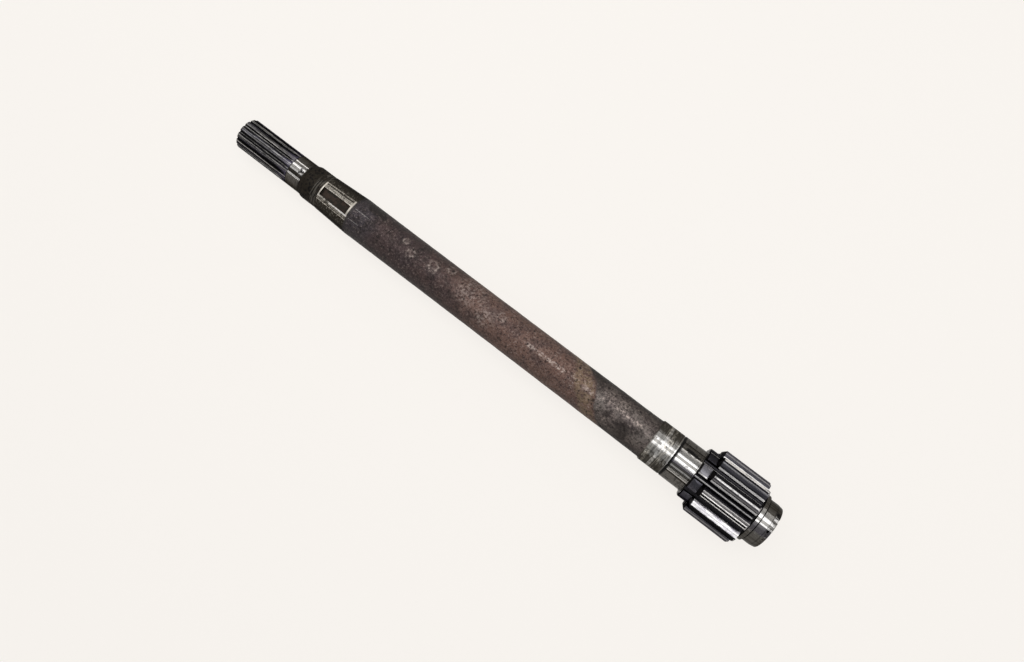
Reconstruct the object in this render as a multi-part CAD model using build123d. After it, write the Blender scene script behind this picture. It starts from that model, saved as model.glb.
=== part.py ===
from build123d import *
import math
import os

# Pinion shaft: one piece of forged steel, turned, hobbed, milled and ground.
# The shaft axis is X, and the pinion is at the +X end. Z is up: a tooth space points straight
# down, so the shaft lies on two of its teeth and on its splined end.
# The origin is on the axis, at mid length of the ground seat behind the pinion.
# All sizes are in millimetres and degrees.

# Ground seat behind the pinion, and the snap ring groove beside it
seat_r = 25.0
seat_length = 26.8
seat_fillet = 1.4
ring_groove_width = 1.9
ring_groove_depth = 0.85

# Turned stretch that a lip seal runs on
turned_r = 24.85
turned_length = 27.3
turned_lead = 1.6

# Forged shank, a little thicker at the keyed end
shank_r = 23.5
shank_length = 414.3
shank_thick_r = 23.9
shank_thick_length = 137.0
shank_shoulder = 3.0

# Keyed taper: its diameter grows by one part in taper_ratio of its length
taper_big_r = 23.75
taper_length = 44.1
taper_ratio = 10.0
keyway_width = 10.0
keyway_length = 40.0
keyway_depth = 5.0
keyway_corner_r = 0.8
keyway_setback = 1.6
keyway_turn = -2.5

# Neck between the taper and the land, with a smooth step down to the land
neck_r = 21.2
neck_length = 21.6
neck_blend = 7.0

# Ground land, and the fine line turned between it and the splines
land_r = 19.4
land_length = 18.6
line_width = 0.9
line_depth = 0.35

# Splined end
spline_r = 19.3
spline_length = 76.5
spline_count = 13
spline_depth = 2.3
spline_gap_top = 4.2
spline_gap_floor = 2.3
spline_turn = 6.55
spline_cutter_r = 30.0
spline_runout_gap = 1.2
spline_end_chamfer = 1.0

# Pinion: straight involute teeth, shifted outwards, with their tips turned off
tooth_count = 10
tooth_module = 6.0
tooth_pressure = 20.0
tooth_shift = 0.75
tip_r = 38.7
root_r = 27.0
tip_break = 0.4
pinion_length = 70.5
pinion_end_chamfer = 2.0

# Behind the full teeth their tops are turned down to a lower, wide top
low_r = 30.65
low_length = 11.4
low_chamfer = 1.5
face_chamfer_length = 3.8
face_chamfer_rise = 4.1

# Relief groove, shoulder ring and end journal outside the pinion
relief_width = 2.8
relief_r = 25.4
ring_r = 28.05
ring_width = 4.0
ring_foot_r = 26.4
ring_foot_length = 0.8
undercut_width = 0.9
undercut_depth = 0.5
journal_r = 25.7
journal_length = 9.3
lead_length = 5.8
lead_drop = 0.95
end_chamfer = 0.6

# A slot and a small pocket in the journal's rim
slot_width = 4.6
slot_length = 5.3
slot_depth = 2.4
slot_turn = -31.2
pocket_width = 2.6
pocket_length = 2.4
pocket_depth = 1.8
pocket_setback = 2.7
pocket_turn = 4.1

# Centre holes that the shaft was turned between
centre_hole_r = 2.5
centre_hole_length = 9.0
centre_cone_angle = 60.0
spline_centre_r = 5.3
journal_centre_r = 6.6

# How far the cutting shapes reach past the surfaces that they cut
overcut = 1.0

# Stations along the axis, worked out from the lengths
x_face = seat_length / 2
x_seat = -seat_length / 2
x_turned = x_seat - ring_groove_width
x_shank = x_turned - turned_length
x_taper_big = x_shank - shank_length
x_taper_small = x_taper_big - taper_length
x_neck = x_taper_small - neck_length
x_land = x_neck - neck_blend
x_line = x_land - land_length
x_spline = x_line - line_width
x_left = x_spline - spline_length
x_low = x_face + low_length
x_relief = x_face + pinion_length
x_ring = x_relief + relief_width
x_foot = x_ring + ring_width
x_undercut = x_foot + ring_foot_length
x_journal = x_undercut + undercut_width
x_lead = x_journal + journal_length
x_right = x_lead + lead_length

taper_small_r = taper_big_r - taper_length / (2 * taper_ratio)
end_r = journal_r - lead_drop


def centre_hole(x_end, inward, mouth_r):
    """Points of a centre hole from its bottom out to the end face."""
    cone = (mouth_r - centre_hole_r) / math.tan(math.radians(centre_cone_angle / 2))
    tip = centre_hole_r / math.tan(math.radians(centre_cone_angle))
    bottom = cone + centre_hole_length
    return [
        (x_end + inward * (bottom + tip), 0),
        (x_end + inward * bottom, centre_hole_r),
        (x_end + inward * cone, centre_hole_r),
        (x_end, mouth_r),
    ]


def keyed_end_outline():
    """Outline from the splined end's centre hole to the foot of the step."""
    line_floor_r = land_r - line_depth
    return Polyline(
        *centre_hole(x_left, 1, spline_centre_r),
        (x_left, spline_r - spline_end_chamfer),
        (x_left + spline_end_chamfer, spline_r),
        (x_spline, spline_r),
        (x_spline, line_floor_r),
        (x_line, line_floor_r),
        (x_line, land_r),
        (x_land, land_r),
    )


def step_outline():
    """Smooth step from the land up to the neck."""
    x_middle = (x_land + x_neck) / 2
    return Bezier((x_land, land_r), (x_middle, land_r), (x_middle, neck_r), (x_neck, neck_r))


def long_outline():
    """Outline of the neck, taper, shank, turned stretch and bearing seat."""
    groove_floor_r = seat_r - ring_groove_depth
    return Polyline(
        (x_neck, neck_r),
        (x_taper_small, neck_r),
        (x_taper_small, taper_small_r),
        (x_taper_big, taper_big_r),
        (x_taper_big + shank_shoulder, shank_thick_r),
        (x_taper_big + shank_thick_length, shank_r),
        (x_shank, shank_r),
        (x_shank + turned_lead, turned_r),
        (x_turned, turned_r),
        (x_turned, groove_floor_r),
        (x_seat, groove_floor_r),
        (x_seat, seat_r),
        (x_face - seat_fillet, seat_r),
    )


def fillet_outline():
    """Fillet where the bearing seat meets the pinion's rear face."""
    centre = (x_face - seat_fillet, seat_r + seat_fillet)
    return CenterArc(centre, seat_fillet, 270, 90)


def pinion_end_outline():
    """Outline of the pinion blank, shoulder ring and journal, to the other centre hole."""
    undercut_floor_r = journal_r - undercut_depth
    return Polyline(
        (x_face, seat_r + seat_fillet),
        (x_face, low_r - low_chamfer),
        (x_face + low_chamfer, low_r),
        (x_low, low_r),
        (x_low, tip_r - face_chamfer_rise),
        (x_low + face_chamfer_length, tip_r),
        (x_relief - pinion_end_chamfer, tip_r),
        (x_relief, tip_r - pinion_end_chamfer),
        (x_relief, relief_r),
        (x_ring, relief_r),
        (x_ring, ring_r),
        (x_foot, ring_r),
        (x_undercut, ring_foot_r),
        (x_undercut, undercut_floor_r),
        (x_journal, undercut_floor_r),
        (x_journal, journal_r),
        (x_lead, journal_r),
        (x_right - end_chamfer, end_r),
        (x_right, end_r - end_chamfer),
        *reversed(centre_hole(x_right, -1, journal_centre_r)),
    )


def turned_blank():
    """The shaft as it leaves the lathe, before teeth and splines are cut."""
    outline = keyed_end_outline() + step_outline() + long_outline()
    outline += fillet_outline() + pinion_end_outline()
    first = centre_hole(x_left, 1, spline_centre_r)[0]
    last = centre_hole(x_right, -1, journal_centre_r)[0]
    outline += Line(last, first)
    return revolve(make_face(Plane.XZ * outline), Axis.X)


def involute(angle):
    """Involute function of an angle in radians."""
    return math.tan(angle) - angle


def half_space_angle(radius):
    """Half the angle between two facing flanks at a radius, in radians."""
    pressure = math.radians(tooth_pressure)
    base_r = tooth_count * tooth_module / 2 * math.cos(pressure)
    half_tooth = (math.pi / 2 + 2 * tooth_shift * math.tan(pressure)) / tooth_count
    local = math.acos(min(1.0, base_r / radius))
    return math.pi / tooth_count - half_tooth - involute(pressure) + involute(local)


def space_point(radius, angle):
    """A point of the tooth space's section, measured from the space's middle."""
    return (radius * math.sin(angle), radius * math.cos(angle))


def tooth_space():
    """Cutting shape for the tooth space that points straight up."""
    base_r = tooth_count * tooth_module / 2 * math.cos(math.radians(tooth_pressure))
    foot_r = max(base_r, root_r + tip_break)
    break_r = tip_r - tip_break
    flank_steps = 6
    radii = [foot_r + (break_r - foot_r) * step / flank_steps for step in range(flank_steps + 1)]
    right = [space_point(radius, half_space_angle(radius)) for radius in radii]
    left = [(-across, up) for across, up in right]
    outer_r = tip_r + overcut
    outer_angle = half_space_angle(break_r) + (outer_r - break_r) / outer_r
    outer_right = space_point(outer_r, outer_angle)
    outer_left = (-outer_right[0], outer_right[1])
    section = Spline(*right) + Line(right[-1], outer_right)
    section += ThreePointArc(outer_right, (0, outer_r), outer_left)
    section += Line(outer_left, left[-1]) + Spline(*reversed(left))
    section += ThreePointArc(left[0], (0, root_r), right[0])
    start = Plane(origin=(x_face - overcut, 0, 0), x_dir=(0, 1, 0), z_dir=(1, 0, 0))
    reach = pinion_length + overcut + relief_width / 2
    return extrude(make_face(start * section), reach)


def spline_groove():
    """Cutting shape for one spline groove, which a round cutter leaves at its far end."""
    floor_r = spline_r - spline_depth
    flare = (spline_gap_top - spline_gap_floor) / 2 / spline_depth
    top_half = spline_gap_top / 2 + flare * overcut
    floor_half = spline_gap_floor / 2
    start = Plane(origin=(x_left - overcut, 0, 0), x_dir=(0, 1, 0), z_dir=(1, 0, 0))
    section = Polyline(
        (-floor_half, floor_r),
        (floor_half, floor_r),
        (top_half, spline_r + overcut),
        (-top_half, spline_r + overcut),
        (-floor_half, floor_r),
    )
    runout = math.sqrt(2 * spline_cutter_r * spline_depth - spline_depth**2)
    x_lift = x_spline - spline_runout_gap - runout
    lift_angle = math.degrees(math.acos(1 - (spline_depth + overcut) / spline_cutter_r))
    straight = Line((x_left - overcut, 0, floor_r), (x_lift, 0, floor_r))
    lifting = Plane.XZ * CenterArc((x_lift, floor_r + spline_cutter_r), spline_cutter_r, 270, lift_angle)
    return sweep(make_face(start * section), path=straight + lifting)


def keyway():
    """Cutting shape for the keyway in the taper, with its floor along the axis."""
    x_start = x_taper_small + keyway_setback
    middle_r = taper_small_r + (keyway_setback + keyway_length / 2) / (2 * taper_ratio)
    floor_r = middle_r - keyway_depth
    height = taper_big_r + overcut - floor_r
    centre = (x_start + keyway_length / 2, 0, floor_r)
    pocket = Location(centre) * Box(
        keyway_length, keyway_width, height, align=(Align.CENTER, Align.CENTER, Align.MIN)
    )
    corner_r = min(keyway_corner_r, keyway_width / 3, keyway_length / 3)
    return fillet(pocket.edges().filter_by(Axis.Z), corner_r)


def rim_cut(x_start, length, width, floor_r):
    """Cutting shape for a straight-sided mark sunk into the journal's rim from above."""
    height = journal_r + overcut - floor_r
    return Location((x_start, 0, floor_r)) * Box(
        length, width, height, align=(Align.MIN, Align.CENTER, Align.MIN)
    )


def pinion_shaft():
    """The finished shaft."""
    shaft = turned_blank()
    space = tooth_space()
    shaft -= [Rot(X=360 / tooth_count * number) * space for number in range(tooth_count)]
    groove = spline_groove()
    turns = [spline_turn + 360 / spline_count * number for number in range(spline_count)]
    shaft -= [Rot(X=turn) * groove for turn in turns]
    shaft -= Rot(X=keyway_turn) * keyway()
    slot = rim_cut(x_right - slot_length, slot_length + overcut, slot_width, end_r - slot_depth)
    shaft -= Rot(X=slot_turn) * slot
    x_pocket = x_right - pocket_setback - pocket_length
    pocket = rim_cut(x_pocket, pocket_length, pocket_width, end_r - pocket_depth)
    shaft -= Rot(X=pocket_turn) * pocket
    return shaft


os.makedirs("parts", exist_ok=True)
export_step(pinion_shaft().solid(), "parts/pinion_shaft.step")
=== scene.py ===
import math

import bpy
from mathutils import Matrix, Vector


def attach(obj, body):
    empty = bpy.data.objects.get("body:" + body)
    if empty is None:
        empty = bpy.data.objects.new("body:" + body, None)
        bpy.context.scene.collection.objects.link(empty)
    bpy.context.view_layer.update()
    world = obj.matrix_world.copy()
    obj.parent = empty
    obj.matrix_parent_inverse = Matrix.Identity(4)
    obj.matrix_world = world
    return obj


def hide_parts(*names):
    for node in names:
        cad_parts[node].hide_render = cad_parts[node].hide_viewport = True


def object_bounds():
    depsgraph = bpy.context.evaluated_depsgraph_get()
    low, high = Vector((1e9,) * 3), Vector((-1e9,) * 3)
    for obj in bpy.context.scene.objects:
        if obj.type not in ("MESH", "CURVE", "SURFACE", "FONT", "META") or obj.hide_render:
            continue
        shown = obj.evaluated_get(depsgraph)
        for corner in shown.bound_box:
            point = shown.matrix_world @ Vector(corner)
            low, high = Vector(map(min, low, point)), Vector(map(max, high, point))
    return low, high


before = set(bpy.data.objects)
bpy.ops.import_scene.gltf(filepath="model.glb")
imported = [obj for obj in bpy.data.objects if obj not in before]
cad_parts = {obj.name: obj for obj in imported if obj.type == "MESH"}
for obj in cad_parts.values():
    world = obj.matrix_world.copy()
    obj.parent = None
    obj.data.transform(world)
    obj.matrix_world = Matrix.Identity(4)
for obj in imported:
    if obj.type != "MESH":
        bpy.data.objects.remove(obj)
cad_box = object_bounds()

bl_info = {
    "name": "Worn pinion shaft",
    "version": (1, 0, 0),
    "blender": (4, 5, 0),
    "location": "3D View > Sidebar > Shaft",
    "description": "Models and finishes a worn pinion shaft around its packed solid",
    "category": "Object",
}

# The shaft lies along X. These are the places of its steps, in metres.
MM = 0.001
SPLINES_END = -549.1 * MM
LAND_LEFT = -548.2 * MM
LAND_RIGHT = -529.6 * MM
TAPER_LEFT = -501.0 * MM
SHANK_LEFT = -453.9 * MM
CONE_END = -319.9 * MM
SHANK_RIGHT = -42.6 * MM
TURNED_RIGHT = -15.3 * MM
SEAT_LEFT = -13.4 * MM
SEAT_RIGHT = 12.0 * MM
REAR_FACE = 13.4 * MM
TEETH_END = 83.9 * MM
RING_LEFT = 86.7 * MM
LEAD_LEFT = 101.7 * MM
RIGHT_END = 107.5 * MM
KEYWAY_LEFT = -499.4 * MM
KEYWAY_RIGHT = -459.4 * MM
# Only the keyway's floor lies nearer to the axis than this, between the keyway's ends.
KEYWAY_INSIDE = 19.4 * MM
# Radii of the full tooth tips and of the tips that are turned down at the rear.
TIP_RADIUS = 38.7 * MM
LOW_TIP_RADIUS = 30.65 * MM
# How far a place may miss its step.
STEP_GAP = 0.05 * MM

# Marks read from the photo. Places along X, radii and sizes are in mm. Angles are in degrees from the
# top, towards -Y. A round mark is its place, its angle and its size.
PITS = [
    (-114.7, 7.7, 2.6), (-67.7, -47.7, 2.4), (-109.0, -48.2, 2.8), (-146.2, -43.6, 2.2),
    (-93.0, 61.0, 2.5),
]
SCUFFED_RINGS = [
    (-384.0, -32.0, 6.0), (-371.0, -14.0, 8.0), (-341.0, -20.0, 10.0), (-323.0, -46.0, 8.0),
    (-246.0, -24.0, 8.0),
]
CLOUDY = [(-103.0, -38.0, 12.0), (-85.0, -36.0, 10.0), (-290.0, -30.0, 26.0), (-262.0, 4.0, 18.0)]
RIM_DENTS = [(103.4, 20.4, 1.5), (104.6, 27.5, 1.2), (104.0, -74.0, 1.4), (103.2, 151.0, 1.6)]
LAND_STAINS = [(-534.8, -16.5, 2.6), (-533.4, -9.5, 2.4), (-535.4, -4.0, 1.8), (-531.4, -12.0, 2.2)]
JOURNAL_STAINS = [
    (104.0, -44.0, 4.4), (106.0, -40.0, 2.4), (103.4, -20.0, 1.6), (104.4, 17.0, 1.6), (104.6, 27.0, 1.2),
]
# Radii at which the round marks lie.
SHANK_SKIN = 23.5
PIT_FLOOR = 23.2
LAND_SKIN = 19.4
RIM_SKIN = 24.6

# Straight scratches: from one place along X to another, at an angle. A scuffed row has a strength too.
SCRATCHES = [(-452.0, -433.0, -17.2), (-453.0, -441.0, 15.3)]
SCUFFED_ROWS = [(-206.0, -158.0, -7.0, 1.0), (-131.0, -120.0, -6.0, 0.8), (-99.0, -59.0, -15.0, 0.8)]

# Bright bands on the teeth, worn flanks with a painted highlight: from and to an angle, from and to a radius,
# and strength.
WORN_FLANK_HIGHLIGHTS = [
    (-88.0, -76.0, 30.5, 32.8, 1.2), (-57.5, -51.4, 38.0, 39.4, 1.2), (-18.0, -15.6, 38.1, 39.4, 0.6),
    (14.2, 15.6, 37.9, 39.4, 1.0), (19.1, 20.3, 38.0, 39.4, 1.0), (40.0, 52.5, 30.2, 33.4, 1.2),
    (40.0, 52.5, 33.4, 34.6, 0.4), (40.0, 52.5, 34.8, 36.0, 0.8),
]
# Thin ledges along the flanks with painted highlights, and painted glints in the roots: angles, radii and
# strength too.
LEDGES_AND_ROOT_GLINTS = [
    (-52.0, -38.0, 29.2, 31.2, 1.2), (-16.0, -4.0, 32.0, 34.2, 1.6), (5.0, 16.0, 34.8, 35.5, 0.8),
    (-34.4, -31.6, 25.0, 27.9, 0.62), (0.4, 3.0, 25.0, 27.9, 0.24),
]
# Edges painted black as shade beside the bright bands: angles, radii and strength.
PAINTED_SHADE_EDGES = [
    (-51.4, -48.4, 37.3, 39.4, 1.0), (-20.4, -18.4, 37.3, 39.4, 0.7), (11.2, 13.8, 37.6, 39.4, 0.5),
    (16.1, 18.6, 37.6, 39.4, 0.8), (20.7, 22.8, 37.3, 39.4, 0.8), (46.0, 52.0, 36.6, 39.4, 1.0),
    (52.0, 57.5, 36.6, 39.4, 0.6),
]

# Stripes of film and painted shade along the ground steel, with painted highlights of bare steel between
# them: from one angle to another, and strength.
LAND_FILM_AND_SHADE = [
    (-90.0, -35.5, 0.94), (-31.5, -22.5, 0.86), (-13.4, -5.0, 0.84), (-5.0, 1.0, 0.62), (1.0, 12.8, 0.99),
    (20.4, 90.0, 0.93),
]
TURNED_FILM_AND_SHADE = [
    (-44.0, -32.2, 0.8), (-30.0, -14.5, 0.4), (-12.0, -5.0, 0.5), (5.0, 17.0, 0.35), (18.4, 28.4, 0.74),
]
SEAT_FILM_AND_SHADE = [
    (-90.0, -54.6, 0.86), (-54.4, -50.4, 1.0), (-50.2, -33.4, 0.92), (-30.2, -16.5, 0.52),
    (-13.2, -6.0, 0.64), (2.5, 7.0, 0.4), (7.0, 12.8, 0.9), (17.8, 23.6, 0.88), (24.5, 30.0, 0.68),
    (32.8, 37.2, 1.0), (37.2, 90.0, 0.8),
]
JOURNAL_FILM_AND_SHADE = [
    (-90.0, -34.0, 0.93), (-32.0, -20.0, 0.5), (-11.6, -4.0, 0.5), (0.6, 9.0, 0.6), (9.0, 28.0, 0.75),
    (28.0, 90.0, 0.88),
]
# Strips that are rubbed bare beside the keyway: angles and strength.
TAPER_RUBBED = [
    (-17.6, -14.6, 1.0), (-26.5, -17.6, 0.6), (-35.2, -32.0, 0.5), (13.2, 18.2, 1.4), (20.4, 22.6, 0.6),
    (25.4, 27.6, 0.9),
]
# Rubbed lines and painted highlights on the splines' lands, painted highlights on the walls that face up and
# on the lit floors: angles and strength.
SPLINE_RUBS_AND_HIGHLIGHTS = [
    (-59.5, -54.4, 0.8), (-37.5, -29.5, 0.3), (-31.0, -28.2, 0.8), (-23.8, -21.0, 0.55),
    (-11.4, -8.6, 0.5), (-5.2, -1.8, 0.34), (7.6, 10.2, 0.75), (15.2, 18.6, 0.8), (20.8, 23.8, 0.3),
    (40.8, 43.0, 1.3), (51.5, 54.0, 0.35), (66.8, 69.0, 0.35),
]

SOLID = "pinion_shaft"
PIECE = "worn_shaft"
BODY = "root"


def linear(red, green, blue):
    """A screen colour, 0 to 255 each, as the linear colour that shaders take."""
    shares = [channel / 255 for channel in (red, green, blue)]
    return tuple(s / 12.92 if s <= 0.04045 else ((s + 0.055) / 1.055) ** 2.4 for s in shares)


def away_at(angle):
    """The direction away from the shaft's axis, at an angle in degrees from the top, towards -Y."""
    turn = math.radians(angle)
    return Vector((0.0, -math.sin(turn), math.cos(turn)))


def colour_property(name, description, default):
    return bpy.props.FloatVectorProperty(
        name=name, description=description, default=default, subtype="COLOR", size=3, min=0.0, max=1.0
    )


def brightness_property(name, description, default):
    return bpy.props.FloatProperty(name=name, description=description, default=default, min=0.0)


def length_property(name, description, default):
    return bpy.props.FloatProperty(
        name=name, description=description, default=default, min=0.0, subtype="DISTANCE", unit="LENGTH"
    )


class ShaftWear(bpy.types.PropertyGroup):
    """How far the metal's surface departs from the plain solid."""

    forge_depth: length_property("Forging waves", "Depth of the broad waves in the forged skin", 0.22 * MM)
    forge_size: length_property("Wave size", "Width of the broad waves in the forged skin", 16 * MM)
    pit_depth: length_property("Skin pits", "Depth of the fine pits in the forged skin", 0.10 * MM)
    pit_size: length_property("Pit size", "Width of the fine pits in the forged skin", 3 * MM)
    dent_depth: length_property("Dents", "Depth of the single dents in the shank", 0.6 * MM)
    rim_dent_depth: length_property("Rim dents", "Depth of the knocks in the journal's rim", 0.5 * MM)
    tip_wear: length_property("Tooth edge wear", "Width of the worn edge along each tooth tip", 0.45 * MM)


class ShaftColours(bpy.types.PropertyGroup):
    """The colours of the bare, oiled and rusty metal, and of its painted highlights and shade."""

    # This colour also paints highlights on the splines and on the low tips that face the lamp.
    bright: colour_property("Bright steel", "Ground steel that still shines", linear(174, 172, 169))
    # This colour also paints highlights on the ground steel, the teeth and the journal's slot.
    polish_and_highlight: colour_property("Polish", "Steel that rubbing parts have worn to a mirror", linear(224, 222, 220))
    # Laid in stripes on the ground steel, this colour also paints shade.
    film: colour_property("Oil film", "Ground steel under a dried film of oil", linear(45, 42, 37))
    cream: colour_property("Rubbed steel", "Steel rubbed bare at the keyway", linear(192, 186, 176))
    flank: colour_property("Tooth flank", "The worn flanks of the teeth", linear(84, 83, 90))
    oiled: colour_property("Oiled steel", "Hardened teeth and splines under oil", linear(47, 46, 53))
    # This colour also paints shade in the grooves, roots, undercut and pocket, and down the taper's sides.
    dirt_and_shade: colour_property("Recess", "Oil and dirt in grooves and roots", linear(20, 19, 20))
    stain: colour_property("Stain", "Brown-black stain on the neck and the taper", linear(42, 38, 33))
    rust: colour_property("Rust", "Brown rust on the forged shank", linear(105, 82, 74))
    scale: colour_property("Scale", "Grey-violet forging scale on the shank", linear(62, 52, 53))
    grey: colour_property("Grey skin", "Cleaner grey skin beside the turned stretch", linear(104, 97, 93))
    tan: colour_property("Tan film", "Tan rim where the rust ends", linear(124, 106, 86))
    slate: colour_property("Slate skin", "Blue-black skin beside the taper", linear(61, 59, 64))
    violet: colour_property("Violet film", "Thin film on the seat and the journal", linear(96, 90, 112))
    # This colour also paints shade down the shank's sides.
    dark_skin_and_shade: colour_property("Dark skin", "Near-black patches of the forged skin", linear(34, 30, 29))
    scuff: colour_property("Scuff", "Pale scuffed spots on the forged skin", linear(172, 158, 150))


class StudioSettings(bpy.types.PropertyGroup):
    """The floor, the lamps and the camera."""

    paper: colour_property("Floor colour", "The pale floor and backdrop", linear(249, 245, 240))
    shadow: bpy.props.FloatProperty(
        name="Shadow", description="Share of the floor's own shading near the shaft", default=0.11,
        min=0.0, max=1.0, subtype="FACTOR",
    )
    key_light: brightness_property("Key light", "The long softbox, where 1 looks white", 2.9)
    rear_light: brightness_property("Rear fill", "The broad lamp behind the shaft", 0.6)
    front_light: brightness_property("Front fill", "The broad lamp in front of the shaft", 0.45)
    strip_light: brightness_property("Strip lights", "The two narrow strips", 3.0)
    room_light: brightness_property("Room light", "The room above the walls", 0.1)
    lens: bpy.props.FloatProperty(
        name="Focal length", description="For a sensor 36 mm wide", default=27.77, min=1.0, unit="CAMERA"
    )


class Value:
    """A shader socket that takes part in Python expressions."""

    def __init__(self, coat, socket):
        self.coat = coat
        self.socket = socket

    def math(self, operation, first, second=0.0):
        return self.coat.node("ShaderNodeMath", {"operation": operation}, {0: first, 1: second})

    def __add__(self, other):
        return self.math("ADD", self, other)

    __radd__ = __add__

    def __sub__(self, other):
        return self.math("SUBTRACT", self, other)

    def __rsub__(self, other):
        return self.math("SUBTRACT", other, self)

    def __mul__(self, other):
        return self.math("MULTIPLY", self, other)

    __rmul__ = __mul__

    def __neg__(self):
        return self.math("MULTIPLY", self, -1.0)

    def __abs__(self):
        return self.math("ABSOLUTE", self)

    def __or__(self, other):
        return self.math("MAXIMUM", self, other)

    def __and__(self, other):
        return self.math("MINIMUM", self, other)


class Coat:
    """One procedural material on Object coordinates, with places in millimetres."""

    colour = None

    def __init__(self, name):
        self.material = bpy.data.materials.new(name)
        self.material.use_nodes = True
        self.tree = self.material.node_tree
        self.tree.nodes.clear()
        coordinates = self.node("ShaderNodeTexCoord", {}, {}, "Object")
        self.place = self.vector("SCALE", coordinates, scale=1 / MM)
        parts = self.node("ShaderNodeSeparateXYZ", {}, {0: self.place})
        self.x, y, z = (Value(self, socket) for socket in parts.socket.node.outputs)
        self.radius = self.vector("LENGTH", self.vector("MULTIPLY", self.place, (0, 1, 1)), output=1)
        self.angle = self.x.math("ARCTAN2", -y, z) * (180 / math.pi)

    def node(self, kind, settings, inputs, output=0):
        """A node of that type, with its settings first and then its values or links."""
        node = self.tree.nodes.new(kind)
        for name, setting in settings.items():
            setattr(node, name, setting)
        for key, value in inputs.items():
            if isinstance(value, Value):
                self.tree.links.new(value.socket, node.inputs[key])
            else:
                node.inputs[key].default_value = value
        return Value(self, node.outputs[output]) if node.outputs else None

    def vector(self, operation, first, second=(0, 0, 0), scale=None, output=0):
        """A Vector Math node. Output 1 is the number that LENGTH and DISTANCE give."""
        inputs = {0: first, 1: second} if scale is None else {0: first, "Scale": scale}
        return self.node("ShaderNodeVectorMath", {"operation": operation}, inputs, output)

    def mix(self, mask, first, second):
        """first where the mask is 0 and second where it is 1."""
        colours = [tuple(c) + (1.0,) if not isinstance(c, Value) else c for c in (first, second)]
        inputs = {0: mask, 6: colours[0], 7: colours[1]}
        return self.node("ShaderNodeMix", {"data_type": "RGBA"}, inputs, 2)

    def lay(self, mask, colour):
        """Covers the colour so far with another, as far as the mask says."""
        self.colour = self.mix(mask, self.colour, colour)

    def rise(self, value, low, high):
        """0 below low, 1 above high, and smooth between them."""
        inputs = {0: value, 1: low, 2: high}
        return self.node("ShaderNodeMapRange", {"interpolation_type": "SMOOTHSTEP"}, inputs)

    def fall(self, value, low, high):
        """1 below low, 0 above high, and smooth between them."""
        return 1 - self.rise(value, low, high)

    def band(self, value, low, high, fade):
        """1 from low to high, fading to 0 outside."""
        return self.rise(value, low - fade, low) * self.fall(value, high, high + fade)

    def noise(self, size, detail=4.0, roughness=0.55, shift=0.0):
        """Noise whose lumps are size millimetres wide, or (along X, across) wide."""
        along, across = size if isinstance(size, tuple) else (size, size)
        place = self.vector("MULTIPLY", self.place, (1 / along, 1 / across, 1 / across))
        place = self.vector("ADD", place, (shift, shift * 0.37, -shift * 0.61))
        inputs = {"Vector": place, "Scale": 1.0, "Detail": detail, "Roughness": roughness}
        return self.node("ShaderNodeTexNoise", {}, inputs)

    def patches(self, size, level, fade=0.08, detail=4.0, roughness=0.55, shift=0.0):
        """A mask of ragged patches: the higher the level, the fewer they are."""
        return self.rise(self.noise(size, detail, roughness, shift), level - fade, level + fade)

    def spots(self, size, reach):
        """A mask of small round spots, one in each cell of that size."""
        place = self.vector("SCALE", self.place, scale=1 / size)
        cells = self.node("ShaderNodeTexVoronoi", {}, {"Vector": place, "Scale": 1.0}, "Distance")
        return self.fall(cells, reach * 0.5, reach)

    def repeat(self, low=-90.0, high=90.0):
        """The angle from low to high, repeated so that the hidden side is marked like the photo's."""
        return self.node("ShaderNodeMath", {"operation": "WRAP"}, {0: self.angle, 1: high, 2: low})

    def stripes(self, table, fade, wobble=0.0, angle=None):
        """A mask of stripes along X, each from one angle to another and with its own strength.

        They repeat every half turn, unless another angle is given. wobble is added to the angle.
        """
        angle = (self.repeat() if angle is None else angle) + wobble
        mask = 0.0
        for low, high, share in table:
            mask = self.band(angle, low, high, fade) * share | mask
        return mask

    def mark(self, x, angle, radius, size):
        """A round mask on the skin, at a place along X and an angle from the top."""
        centre = Vector((x, 0.0, 0.0)) + radius * away_at(angle)
        distance = self.vector("DISTANCE", self.place, centre, output=1)
        return self.fall(distance, size * 0.35, size)

    def finish(self, roughness, metallic, height, depth, gloss=0.5, edge=0.3):
        """Joins the colour and the channels to the shader. depth is the relief's height in millimetres.

        gloss is the level of the clear reflection, and edge the grey that metal reflects at a low angle.
        """
        relief = {"Height": height, "Strength": 1.0, "Distance": depth * MM}
        inputs = {
            "Base Color": self.colour,
            "Roughness": roughness,
            "Metallic": metallic,
            "Normal": self.node("ShaderNodeBump", {}, relief),
            "Specular IOR Level": gloss,
            "Specular Tint": (edge, edge, edge, 1.0),
        }
        shader = self.node("ShaderNodeBsdfPrincipled", {}, inputs)
        self.node("ShaderNodeOutputMaterial", {}, {0: shader})
        return self.material


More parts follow.
